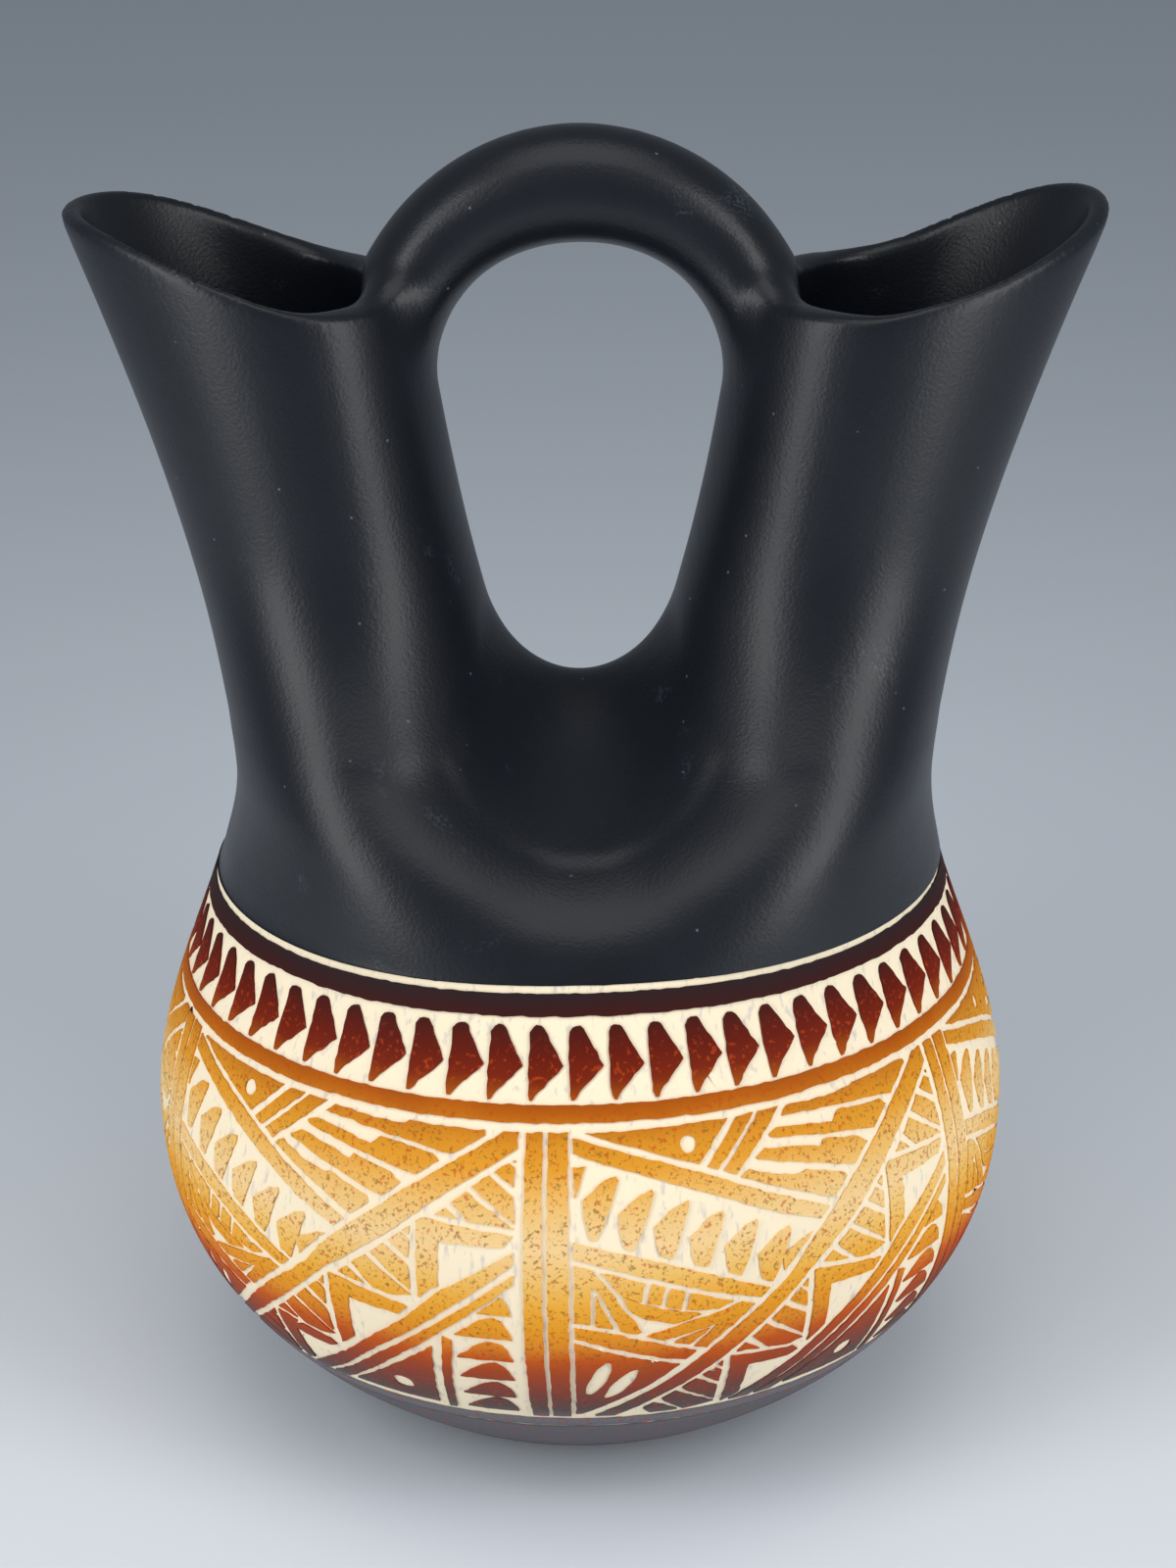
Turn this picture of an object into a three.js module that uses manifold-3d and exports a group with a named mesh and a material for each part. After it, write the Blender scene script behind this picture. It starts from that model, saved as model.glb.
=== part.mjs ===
// Wedding vase: a round jar whose neck divides into two spouts, joined by a stirrup handle.
// Seven clay members, built one on another and luted together: base, two bowl walls, shoulder, spouts, handle.
// Millimetres, +Z up. The origin is the centre of the flat base, and X runs from spout to spout.
import * as THREE from 'three';
import { mergeVertices } from 'three/addons/utils/BufferGeometryUtils.js';
import Module from 'manifold-3d';

// Heights up the body, each one measured from another
const bellyHeight = 62;
const bellyToSeam = 6;
const bellyToFlattening = 18;
const bellyToRingLine = 52;
const ringLineToDivide = 16;
const ringLineToNeck = 19;
const neckToDivided = 12;
const dividedToLowGap = 16.5;
const neckToLip = 92.2;
const slimToLip = 45.2;
const lipToTip = 15.1;
const lipToArch = 18;
const saddleToSeam = 8;

// Bowl
const footRadius = 42.5;
const bellyRadius = 85.5;
const bellyFullness = 2.4;
const neckRadius = 67.5;
const wall = 5;
const baseThickness = 8;

// Shoulder, where the round body flattens and divides
const ringLineDepth = 65;
const saddleBlend = 16;
const channelBlend = 10;

// Spouts
const tipReach = 96.4;
const spoutFlare = 1.47;
const lipThickness = 3.8;
const spoutDepth = 29;
const lowGap = 17.2;
const mouthPoint = 0.16;

// The spouts are built by hand and differ: the right one is a little wider, and its rim leans further forward.
// A rim rises by rise over the span from riseFrom to riseTo, where -1 is beside the handle and 1 is the tip
const widthDifference = 3.2;
const leftRise = 14.3;
const leftRiseFrom = -0.6;
const leftRiseTo = 1.05;
const leftLean = 1;
const rightRise = 18;
const rightRiseFrom = -0.4;
const rightRiseTo = 1.45;
const rightLean = 5;

// Stirrup handle: a roll bent in a half circle. Its angles are in degrees off the vertical
const archRadius = 36;
const rollRadius = 10.8;
const rootAngle = 62;
const rootWidth = 9.4;
const rootDepth = 17;
const rootThickness = 6.5;
const rootRun = 38;
const rootTaper = 0.2;
const rootToTaper = 15;

// Dry joint left between two members
const seam = 0.3;

// How far the stub of the handle is cut below the inner skin, so that it meets the wall and not its surface
const stubBite = seam / 3;

// Facets round each form and rings along it
const bowlSides = 48;
const spoutSides = 40;
const rollSides = 24;
const baseRings = 3;
const lowerBowlRings = 9;
const upperBowlRings = 6;
const shoulderRings = 7;
const crotchRings = 4;
const spoutRings = 9;
const handleRings = 18;
const stubRings = 5;

// Rings of the shoulder crowd towards the saddle by these powers and stay this far from it
const shoulderCrowd = 1.5;
const crotchCrowd = 1.3;
const saddleStep = 0.4;

// Where the three rings of a rounded lip stand on their half circle
const lipShares = [0.2, 0.5, 0.8];

// Steps of a search that halves its range
const halvings = 40;

const rad = THREE.MathUtils.degToRad;
const lerp = THREE.MathUtils.lerp;

const bellySeam = bellyHeight + bellyToSeam;
const flatteningHeight = bellyHeight + bellyToFlattening;
const ringLineHeight = bellyHeight + bellyToRingLine;
const divideHeight = ringLineHeight - ringLineToDivide;
const neckHeight = ringLineHeight + ringLineToNeck;
const dividedHeight = neckHeight + neckToDivided;
const lowGapHeight = dividedHeight + dividedToLowGap;
const lipHeight = neckHeight + neckToLip;
const slimHeight = lipHeight - slimToLip;
const tipHeight = lipHeight + lipToTip;
const archHeight = lipHeight - lipToArch;
const archGap = archRadius - rootWidth;
const stubAngle = rootAngle + rootRun;
const taperAngle = rootAngle + rootToTaper;

function ease(value, from, to) {
  const t = Math.min(1, Math.max(0, (value - from) / (to - from)));
  return t * t * (3 - 2 * t);
}

function slope(curve, z) {
  const step = 0.05;
  return (curve(z + step) - curve(z - step)) / (2 * step);
}

// Half the width of the whole vase, from foot to belly, in to the neck and out along the spouts
function halfWidth(z) {
  if (z < bellyHeight) {
    const down = 1 - Math.max(0, z) / bellyHeight;
    return bellyRadius - (bellyRadius - footRadius) * down ** bellyFullness;
  }
  if (z < neckHeight) {
    return lerp(bellyRadius, neckRadius, ease(z, bellyHeight, neckHeight));
  }
  const up = (z - neckHeight) / (tipHeight - neckHeight);
  return neckRadius + (tipReach - neckRadius) * up ** spoutFlare;
}

// Half the depth: round to the shoulder, then flattening until each spout is an oval tube
function halfDepth(z) {
  const ringRatio = ringLineDepth / halfWidth(ringLineHeight);
  if (z <= ringLineHeight) {
    return halfWidth(z) * lerp(1, ringRatio, ease(z, flatteningHeight, ringLineHeight));
  }
  if (z >= slimHeight) {
    return spoutDepth;
  }
  const length = slimHeight - ringLineHeight;
  const t = (z - ringLineHeight) / length;
  const startSlope = ringRatio * slope(halfWidth, ringLineHeight) * length;
  return (1 + 2 * t) * (1 - t) ** 2 * ringLineDepth + t * (1 - t) ** 2 * startSlope
    + t * t * (3 - 2 * t) * spoutDepth;
}

// How far each spout's middle stands from the axis: nothing in the bowl, steady above the saddle
function spoutCentre(z) {
  const low = (halfWidth(lowGapHeight) + lowGap) / 2;
  const high = (halfWidth(archHeight) + archGap) / 2;
  const straight = low + (high - low) * (z - lowGapHeight) / (archHeight - lowGapHeight);
  return straight * ease(z, divideHeight, dividedHeight);
}

// One of the two ovals of the body at a height. side is 1 for the right one and -1 for the left one
function ovalAt(z, inset, side) {
  const thick = lerp(wall, lipThickness, ease(z, slimHeight, lipHeight)) * inset;
  const wider = side * widthDifference / 4 * ease(z, divideHeight, neckHeight);
  const centre = spoutCentre(z) + wider / 2;
  return {
    centre,
    a: halfWidth(z) + wider - centre - thick * Math.hypot(1, slope(halfWidth, z)),
    b: halfDepth(z) - thick * Math.hypot(1, slope(halfDepth, z)),
  };
}

// The body at one height, seen from one side: its own oval at +X and the other one at -X.
// inset is 0 for the outside and 1 for the inside of the wall
function sectionAt(z, inset, side) {
  const blend = (inset ? channelBlend : saddleBlend) * ease(z, divideHeight, dividedHeight - saddleToSeam);
  return { own: ovalAt(z, inset, side), other: ovalAt(z, inset, -side), blend };
}

// Below zero inside the smooth union of the two ovals, in millimetres near their edge
function depthInside({ own, other, blend }, x, y) {
  const right = (Math.hypot((x - own.centre) / own.a, y / own.b) - 1) * own.a;
  const left = (Math.hypot((x + other.centre) / other.a, y / other.b) - 1) * other.a;
  const near = blend > 0 ? Math.max(0, 1 - Math.abs(right - left) / blend) : 0;
  return Math.min(right, left) - near * near * blend / 4;
}

// Distance at which a walk from (x, y) in direction (dx, dy) leaves the body
function walkOut(section, x, y, dx, dy, limit = 2 * (bellyRadius + tipReach)) {
  let inside = 0;
  let outside = limit;
  for (let i = 0; i < halvings; i++) {
    const middle = (inside + outside) / 2;
    if (depthInside(section, x + dx * middle, y + dy * middle) < 0) {
      inside = middle;
    } else {
      outside = middle;
    }
  }
  return (inside + outside) / 2;
}

// A whole ring round the axis, for the bowl
function bowlRing(z, inset) {
  const section = sectionAt(z, inset, 1);
  const ring = [];
  for (let i = 0; i < bowlSides; i++) {
    const angle = 2 * Math.PI * i / bowlSides;
    const reach = walkOut(section, 0, 0, Math.cos(angle), Math.sin(angle));
    ring.push(new THREE.Vector3(reach * Math.cos(angle), reach * Math.sin(angle), z));
  }
  return ring;
}

// One half of the body, drawn at +X and walked round its spout's centre.
// Below the saddle the middle plane cuts it
function halfRing(z, inset, side) {
  const section = sectionAt(z, inset, side);
  const { centre } = section.own;
  const cut = depthInside(section, 0, 0) < 0;
  const wholeTurn = Math.PI * (1 - 1 / spoutSides);
  const last = cut ? Math.atan2(walkOut(section, 0, 0, 0, 1), -centre) : wholeTurn;
  const ring = [];
  for (let i = 0; i < spoutSides; i++) {
    const angle = lerp(-last, last, i / (spoutSides - 1));
    const [dx, dy] = [Math.cos(angle), Math.sin(angle)];
    const reach = walkOut(section, centre, 0, dx, dy, dx < 0 ? -centre / dx : undefined);
    const onPlane = cut && (i === 0 || i === spoutSides - 1);
    ring.push(new THREE.Vector3(onPlane ? 0 : centre + reach * dx, reach * dy, z));
  }
  return { ring, cut };
}

// Height of the saddle between the spouts, outside (inset 0) or in the channel (inset 1)
function saddleHeight(inset) {
  let low = divideHeight;
  let high = dividedHeight + saddleToSeam;
  for (let i = 0; i < halvings; i++) {
    const middle = (low + high) / 2;
    if (depthInside(sectionAt(middle, inset, 1), 0, 0) < 0) {
      low = middle;
    } else {
      high = middle;
    }
  }
  return (low + high) / 2;
}

const seamHeight = saddleHeight(0) + saddleToSeam;

// Faces of a band between two rings of equal length. An open band leaves out the step from last to first
function band(lower, upper, open = false) {
  const faces = [];
  for (let i = open ? 1 : 0; i < lower.length; i++) {
    const before = (i + lower.length - 1) % lower.length;
    faces.push(lower[before], lower[i], upper[i], lower[before], upper[i], upper[before]);
  }
  return faces;
}

// Faces of a fan that closes a ring
function cap(ring, facingUp) {
  const middle = new THREE.Vector3();
  ring.forEach((point) => middle.addScaledVector(point, 1 / ring.length));
  const order = facingUp ? ring : [...ring].reverse();
  return order.flatMap((point, i) => [middle, point, order[(i + 1) % order.length]]);
}

// Every three points are a face. Points in the same place become one
function geometryFrom(faces) {
  const geometry = new THREE.BufferGeometry();
  const positions = faces.flatMap((point) => [point.x, point.y, point.z]);
  geometry.setAttribute('position', new THREE.Float32BufferAttribute(positions, 3));
  return mergeVertices(geometry, 1e-4);
}

// A solid through its rings, with a fan at each end
function loft(rings) {
  const faces = rings.slice(1).flatMap((ring, i) => band(rings[i], ring));
  return geometryFrom([...faces, ...cap(rings[0], false), ...cap(rings[rings.length - 1], true)]);
}

// A wall through rings that go up its outer side and come down its inner side to the first again
function loopLoft(rings) {
  return geometryFrom(rings.flatMap((ring, i) => band(ring, rings[(i + 1) % rings.length])));
}

const wasm = await Module();
wasm.setup();

function solid(geometry) {
  return new wasm.Manifold(new wasm.Mesh({
    numProp: 3,
    vertProperties: new Float32Array(geometry.attributes.position.array),
    triVerts: new Uint32Array(geometry.index.array),
  }));
}

function geometryOf(manifold) {
  const mesh = manifold.getMesh();
  const geometry = new THREE.BufferGeometry();
  geometry.setAttribute('position', new THREE.BufferAttribute(mesh.vertProperties, 3));
  geometry.setIndex(new THREE.BufferAttribute(mesh.triVerts, 1));
  return geometry;
}

// The same shape on the other side of the middle plane
function mirrored(geometry) {
  const copy = geometry.clone().scale(-1, 1, 1);
  const index = copy.index.array;
  for (let i = 0; i < index.length; i += 3) {
    [index[i], index[i + 1]] = [index[i + 1], index[i]];
  }
  return copy;
}

function heights(from, to, steps, crowd = 1) {
  return Array.from({ length: steps + 1 }, (_, i) => from + (to - from) * (i / steps) ** crowd);
}

// Solid slab that the vase stands on
function baseGeometry() {
  return loft(heights(0, baseThickness, baseRings).map((z) => bowlRing(z, 0)));
}

// Open band of wall between two heights
function wallGeometry(bottom, top, steps) {
  const levels = heights(bottom, top, steps);
  const outer = levels.map((z) => bowlRing(z, 0));
  const inner = levels.map((z) => bowlRing(z, 1)).reverse();
  return loopLoft([...outer, ...inner]);
}

function lowerBowlGeometry() {
  return wallGeometry(baseThickness + seam, bellySeam - seam / 2, lowerBowlRings);
}

function upperBowlGeometry() {
  return wallGeometry(bellySeam + seam / 2, ringLineHeight - seam / 2, upperBowlRings);
}

// Heights that crowd towards the saddle from both sides
function saddleLevels(inset, bottom, top) {
  const saddle = saddleHeight(inset);
  const below = heights(saddle - saddleStep, bottom, shoulderRings, shoulderCrowd);
  const above = heights(saddle + saddleStep, top, crotchRings, crotchCrowd);
  return [...below.reverse(), ...above];
}

// Half of the shoulder's skin, outside and inside, drawn at +X
function shoulderHalf(side) {
  const bottom = ringLineHeight + seam / 2;
  const top = seamHeight - seam / 2;
  const outer = saddleLevels(0, bottom, top).map((z) => halfRing(z, 0, side));
  const inner = saddleLevels(1, bottom, top).map((z) => halfRing(z, 1, side)).reverse();
  const loop = [...outer, ...inner];
  return loop.flatMap(({ ring, cut }, i) => {
    const next = loop[(i + 1) % loop.length];
    return band(ring, next.ring, cut && next.cut);
  });
}

function mirroredFaces(faces) {
  return faces.map((point) => new THREE.Vector3(-point.x, point.y, point.z)).reverse();
}

function shoulderGeometry() {
  return geometryFrom([...shoulderHalf(1), ...mirroredFaces(shoulderHalf(-1))]);
}

// How far a rim stands above its low side, drawn at +X
function rimRise(turn, side) {
  const toTip = Math.cos(turn);
  const forward = Math.max(0, toTip) * Math.sin(turn);
  if (side > 0) {
    return rightRise * ease(toTip, rightRiseFrom, rightRiseTo) + rightLean * forward;
  }
  return leftRise * ease(toTip, leftRiseFrom, leftRiseTo) + leftLean * forward;
}

// A point of a spout's wall, drawn at +X. turn is 0 at the outer tip and half a turn beside the handle
function spoutPoint(level, turn, inset, side) {
  const toTip = Math.cos(turn);
  const mouth = ease(level, seamHeight, lipHeight);
  const z = level + rimRise(turn, side) * mouth;
  const { centre, a, b } = ovalAt(z, inset, side);
  const root = inset * rootThickness * ease(z, archHeight - rollRadius / 2, lipHeight);
  const x = centre + root / 2 + (a - root / 2) * toTip;
  return new THREE.Vector3(x, b * Math.sin(turn) * (1 - mouthPoint * toTip * mouth), z);
}

function spoutRing(level, inset, side) {
  const turns = Array.from({ length: spoutSides }, (_, i) => 2 * Math.PI * i / spoutSides);
  return turns.map((turn) => spoutPoint(level, turn, inset, side));
}

// Rounded lip: rings from the outer edge over the rim to the inner edge
function lipRings(level, side) {
  const inner = spoutRing(level, 1, side);
  return lipShares.map((share) => spoutRing(level, 0, side).map((point, i) => {
    point.lerp(inner[i], (1 - Math.cos(Math.PI * share)) / 2);
    point.z += lipThickness / 2 * Math.sin(Math.PI * share);
    return point;
  }));
}

// A section of the handle's roll, square to its arch at an angle off the vertical
function rollRing(angle, grow) {
  const off = Math.abs(angle);
  const taper = 1 - rootTaper * ease(off, taperAngle, stubAngle);
  const across = lerp(rollRadius, rootWidth, ease(off, 0, rootAngle)) * taper + grow;
  const deep = lerp(rollRadius, rootDepth, ease(off, rootAngle / 2, stubAngle)) * taper + grow;
  const [sin, cos] = [Math.sin(rad(angle)), Math.cos(rad(angle))];
  return Array.from({ length: rollSides }, (_, i) => {
    const turn = 2 * Math.PI * i / rollSides;
    const reach = archRadius + across * Math.cos(turn);
    return new THREE.Vector3(reach * sin, -deep * Math.sin(turn), archHeight + reach * cos);
  });
}

function rollGeometry(fromAngle, toAngle, steps, grow = 0) {
  return loft(heights(fromAngle, toAngle, steps).map((angle) => rollRing(angle, grow)));
}

// Spout drawn at +X, with the stub of the handle growing out of its inner lip
function spoutGeometry(side) {
  const bottom = seamHeight + seam / 2;
  const top = lipHeight - lipThickness / 2;
  const levels = heights(bottom, top, spoutRings);
  const outer = levels.map((z) => spoutRing(z, 0, side));
  const inner = levels.map((z) => spoutRing(z, 1, side)).reverse();
  const tube = solid(loopLoft([...outer, ...lipRings(top, side), ...inner]));
  const channel = solid(loft([...levels, tipHeight].map((z) => spoutRing(z, 1 + stubBite / wall, side))));
  const stub = solid(rollGeometry(rootAngle, stubAngle, stubRings)).subtract(channel);
  const roomAngle = rootAngle + THREE.MathUtils.radToDeg(seam / archRadius);
  const handleRoom = solid(rollGeometry(0, roomAngle, handleRings / 2, seam));
  return geometryOf(tube.add(stub).subtract(handleRoom));
}

function handleGeometry() {
  return rollGeometry(-rootAngle, rootAngle, handleRings);
}

function fired(name, geometry, color, roughness) {
  const material = new THREE.MeshStandardMaterial({ color, roughness, metalness: 0 });
  const mesh = new THREE.Mesh(geometry, material);
  mesh.name = name;
  return mesh;
}

const blackSlip = 0x1d1f24;
const ochreSlip = 0xc98a3c;
const maroonSlip = 0x7a3417;
const polished = 0.42;
const matte = 0.7;

const group = new THREE.Group();
group.add(fired('base', baseGeometry(), blackSlip, matte));
group.add(fired('lower_bowl', lowerBowlGeometry(), ochreSlip, matte));
group.add(fired('upper_bowl', upperBowlGeometry(), maroonSlip, matte));
group.add(fired('shoulder', shoulderGeometry(), blackSlip, polished));
group.add(fired('right_spout', spoutGeometry(1), blackSlip, polished));
group.add(fired('left_spout', mirrored(spoutGeometry(-1)), blackSlip, polished));
group.add(fired('handle', handleGeometry(), blackSlip, polished));

export default group;
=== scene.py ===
"""Wedding vase: satin black spouts and handle over a bowl whose sprayed slip is etched to the pale clay.

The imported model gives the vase's own sizes. The property groups hold the finish, the ornament and the stage.
"""
import math

import bpy
import numpy as np
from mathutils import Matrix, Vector, noise
from mathutils.bvhtree import BVHTree
from mathutils.geometry import delaunay_2d_cdt
from mathutils.kdtree import KDTree


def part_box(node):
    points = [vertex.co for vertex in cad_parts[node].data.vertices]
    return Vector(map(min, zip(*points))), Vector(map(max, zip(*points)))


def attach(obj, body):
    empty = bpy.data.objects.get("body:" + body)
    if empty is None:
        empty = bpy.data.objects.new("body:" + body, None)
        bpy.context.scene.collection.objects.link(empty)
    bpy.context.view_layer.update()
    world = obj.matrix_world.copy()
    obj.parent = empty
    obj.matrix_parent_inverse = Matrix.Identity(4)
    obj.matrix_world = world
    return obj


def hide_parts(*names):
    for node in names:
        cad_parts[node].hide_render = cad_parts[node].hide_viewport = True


bl_info = {
    "name": "Wedding vase",
    "version": (1, 0, 0),
    "blender": (4, 5, 0),
    "location": "3D View > Sidebar > Vase",
    "description": "Dresses the clay members of a wedding vase and etches its bowl",
    "category": "Object",
}

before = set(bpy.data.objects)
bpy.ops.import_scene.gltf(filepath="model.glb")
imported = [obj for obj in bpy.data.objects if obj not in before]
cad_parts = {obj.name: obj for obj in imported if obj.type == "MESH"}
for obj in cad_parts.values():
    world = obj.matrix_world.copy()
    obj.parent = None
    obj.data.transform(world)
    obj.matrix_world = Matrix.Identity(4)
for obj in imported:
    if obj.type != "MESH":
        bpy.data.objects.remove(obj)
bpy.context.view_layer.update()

MM = 0.001

# Edges of a clay member sharper than this stay sharp
RIM_SHARPNESS = math.radians(85)
# How finely the facets of a clay member are rounded
ROUNDING_LEVELS = 2
# Edges of a finished skin sharper than this show as an edge
SKIN_SHARPNESS = math.radians(50)
BOWL_SHARPNESS = math.radians(40)
# Most that a swelling skin moves before it is fused again
SWELL_STEP = 2 * MM

# Rise means millimetres up the outside of the wall from the edge of the foot. Turn means degrees round the
# vase from the front, towards +X.
BANDS = {
    "foot_line": (37.2, 38.5),
    "slate_stripe": (38.5, 41.8),
    "low_line": (41.8, 43.4),
    "panel": (43.4, 107.1),
    "panel_line": (107.1, 108.6),
    "ochre_stripe": (108.6, 111.7),
    "teeth": (111.7, 126.7),
    "dark_stripe": (126.7, 130.8),
    "top_line": (130.8, 132.3),
}
TOP_RISE = BANDS["top_line"][1]

# The panel as it stands at the front. The others are copies of it, stretched to their own width.
PANEL_TURNS = (-7.2, 55.2)
LEFT_PANEL_START = -71.7
PANELS = 6
FIELD_TURNS = (-0.9, 54.3)
# Length of one degree of turn on the unrolled wall, near its widest part
MM_PER_DEGREE = 1.45
# Width of the bared line beside a stripe
GAP = 1.25
# How far the left end of the field leans over its height
FIELD_LEAN = 0.4

TOOTH = (
    (0.0, 124.0), (0.45, 124.9), (0.9, 125.2), (1.7, 125.2), (2.1, 124.7), (5.0, 118.3), (4.8, 117.9),
    (1.7, 114.0), (0.8, 112.3), (0.4, 112.3), (0.2, 113.3), (0.0, 117.0),
)
TOOTH_COUNT = 62
TOOTH_START = -1.6

BARS = (
    ((-7.1, 107.1), (-4.9, 107.1), (-4.3, 43.4), (-6.6, 43.4)),
    ((-4.2, 107.1), (-1.6, 107.1), (-1.2, 43.4), (-3.7, 43.4)),
)

# Stripes of the field, each one given by its two edges
STRIPE_FALL_TOP = (
    ((-2.0, 106.7), (8.5, 102.1), (15.5, 98.5), (20.4, 95.2), (32.9, 86.5)),
    ((-2.0, 104.0), (5.6, 100.4), (10.0, 98.1), (15.5, 95.0), (20.0, 92.1), (25.0, 88.5), (31.8, 84.6)),
)
STRIPE_FALL_MIDDLE = (
    ((-2.0, 88.0), (8.1, 83.7), (15.1, 79.6), (23.9, 73.8)),
    ((-2.0, 85.0), (5.0, 81.7), (10.0, 79.2), (15.1, 76.2), (22.8, 72.1)),
)
STRIPE_FALL_LOW = (
    ((-2.0, 70.6), (4.5, 68.1), (10.0, 65.0), (14.6, 62.3)),
    ((-2.0, 68.5), (4.5, 64.8), (10.0, 62.0), (13.3, 60.6)),
)
STRIPE_CLIMB_LEFT = (
    ((1.7, 43.0), (10.0, 52.9), (15.5, 60.6), (20.0, 66.8), (26.5, 74.8), (30.2, 81.7), (34.8, 88.1),
     (40.3, 94.8), (45.0, 100.0), (49.9, 104.6), (53.4, 108.0)),
    ((4.5, 43.0), (10.0, 49.5), (15.5, 56.0), (20.0, 61.8), (25.0, 68.7), (30.2, 76.2), (34.8, 81.7),
     (40.3, 88.5), (45.0, 94.6), (49.9, 99.8), (56.0, 105.8)),
)
STRIPE_CLIMB_MIDDLE = (
    ((20.9, 43.0), (30.2, 54.5), (34.8, 61.2), (40.3, 68.3), (44.7, 75.4), (49.9, 80.8), (56.0, 87.2)),
    ((23.8, 43.0), (30.2, 51.0), (34.8, 57.9), (40.3, 64.8), (45.0, 71.0), (49.9, 77.3), (56.0, 85.3)),
)
STRIPE_CLIMB_RIGHT = (
    ((24.8, 43.0), (30.2, 49.5), (34.8, 56.0), (40.3, 63.1), (45.0, 69.1), (56.0, 83.0)),
    ((27.4, 43.0), (31.5, 48.3), (36.5, 55.2), (40.3, 60.6), (44.7, 66.4), (49.1, 72.2), (56.0, 81.2)),
)

DOTTED_TRIANGLE = ((0.7, 106.9), (20.0, 107.4), (15.2, 99.9))
LEANING_BARS = (
    ((16.3, 99.2), (17.6, 98.4), (24.2, 107.8), (21.6, 107.8)),
    ((18.5, 98.1), (20.0, 97.0), (27.9, 107.8), (24.9, 107.8)),
)
FEATHERS = (
    ((27.6, 105.4), (28.8, 107.0), (34.8, 106.5), (39.2, 106.6), (40.5, 107.7), (49.7, 108.2), (50.2, 105.2),
     (47.2, 102.1), (40.3, 103.7), (31.0, 105.1)),
    ((25.2, 102.7), (26.5, 103.7), (31.3, 102.8), (35.0, 101.7), (36.3, 103.5), (43.6, 102.1), (44.7, 100.6),
     (42.5, 97.5), (35.1, 99.8), (25.5, 102.1)),
    ((23.0, 99.2), (24.4, 100.5), (29.5, 99.4), (32.5, 98.1), (33.0, 99.3), (38.4, 97.5), (40.1, 95.6),
     (38.0, 92.5), (31.0, 95.6), (23.3, 98.8)),
    ((20.7, 96.5), (21.9, 97.6), (26.0, 95.2), (29.1, 94.4), (29.9, 94.8), (35.4, 92.1), (35.9, 90.8),
     (34.3, 87.5), (28.2, 91.5), (20.8, 96.2)),
)
KITE = (
    (4.6, 99.3), (3.0, 98.6), (0.3, 95.3), (0.5, 92.0), (1.0, 88.9), (1.5, 87.7), (2.2, 88.3), (3.0, 91.0),
    (4.0, 95.0), (4.8, 98.6),
)
KITE_STEP = (4.4, -2.8)
KITE_COUNT = 6
LEFT_KITE = ((-2.0, 101.0), (0.7, 101.3), (-0.2, 98.0), (-0.7, 95.8), (-2.0, 95.0))
RIGHT_KITE = ((25.5, 80.0), (30.4, 83.3), (27.6, 79.4), (25.9, 76.5))

# Between the middle and the low falling stripe: a tent, a boat, a crescent under it and a wing
TENT = (
    (-2.0, 84.2), (0.9, 83.0), (1.7, 81.3), (3.8, 77.3), (5.1, 74.0), (6.5, 71.3), (7.6, 68.3), (6.8, 67.9),
    (-2.0, 72.0),
)
TENT_LINES = (
    ((1.25, 78.3), (1.8, 78.3), (1.9, 69.0), (1.3, 69.4)),
    ((1.3, 78.5), (2.0, 78.3), (5.6, 67.5), (4.6, 67.8)),
)
BOAT = (
    (2.5, 81.6), (3.1, 81.8), (8.3, 78.9), (13.5, 76.0), (19.1, 72.4), (17.2, 71.6), (14.9, 71.8),
    (12.4, 72.6), (9.9, 74.0), (7.5, 75.1), (4.9, 76.7),
)
BOAT_LINES = (
    ((8.0, 80.0), (8.9, 79.6), (8.1, 74.4), (7.4, 74.9)),
    ((10.4, 78.6), (11.2, 78.2), (10.4, 73.2), (9.8, 73.6)),
    ((13.0, 77.2), (13.8, 76.8), (12.9, 71.8), (12.3, 72.0)),
)
CRESCENT = (
    (5.1, 76.5), (7.5, 74.6), (10.0, 73.2), (12.4, 72.1), (15.0, 70.9), (13.0, 70.0), (11.6, 69.6),
    (9.9, 70.4), (8.1, 71.2), (6.5, 72.8), (5.4, 75.0),
)
WING = (
    (7.5, 67.0), (11.8, 69.0), (17.5, 70.8), (20.2, 72.0), (21.9, 71.0), (20.2, 68.7), (17.5, 65.2),
    (15.7, 62.7), (14.1, 63.4), (17.3, 68.2), (10.0, 66.0),
)
WING_TIP = ((11.6, 65.1), (12.0, 65.7), (16.1, 67.4), (13.4, 63.9))

LOW_FIELD = (
    (-2.0, 67.2), (4.5, 63.4), (10.0, 60.6), (12.6, 59.3), (9.0, 54.3), (4.5, 49.3), (0.2, 44.6),
    (-2.0, 44.6),
)
# Each oval is given by its two ends and half its width
LOW_OVALS = (((3.6, 61.6), (1.1, 51.8), 1.6), ((7.2, 59.2), (3.4, 50.4), 1.6))

FAN = (
    ((17.7, 57.5), (18.5, 58.5), (18.5, 56.6)),
    ((15.9, 55.0), (17.4, 56.8), (18.5, 55.6), (18.5, 52.2)),
    ((13.4, 51.8), (15.2, 54.1), (18.5, 50.6), (18.7, 45.6)),
    ((10.9, 48.7), (12.7, 50.8), (18.8, 44.5), (14.4, 43.5)),
    ((8.6, 45.6), (10.1, 47.5), (13.7, 43.5), (9.7, 43.5)),
)
FAN_STEPS = ((0.0, 0.0), (10.9, 14.8), (22.9, 29.8), (35.6, 45.2))
CHEVRONS = (
    ((19.6, 59.1), (28.5, 57.2), (29.4, 56.2), (28.0, 55.0), (22.2, 55.6), (22.2, 46.0), (20.0, 43.7)),
    ((30.3, 74.8), (41.7, 71.4), (40.3, 69.5), (32.9, 70.4), (32.9, 60.6), (30.7, 57.9)),
    ((42.3, 90.4), (54.1, 88.5), (53.0, 86.2), (45.1, 86.2), (45.1, 75.4), (42.7, 72.1)),
)

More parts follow.
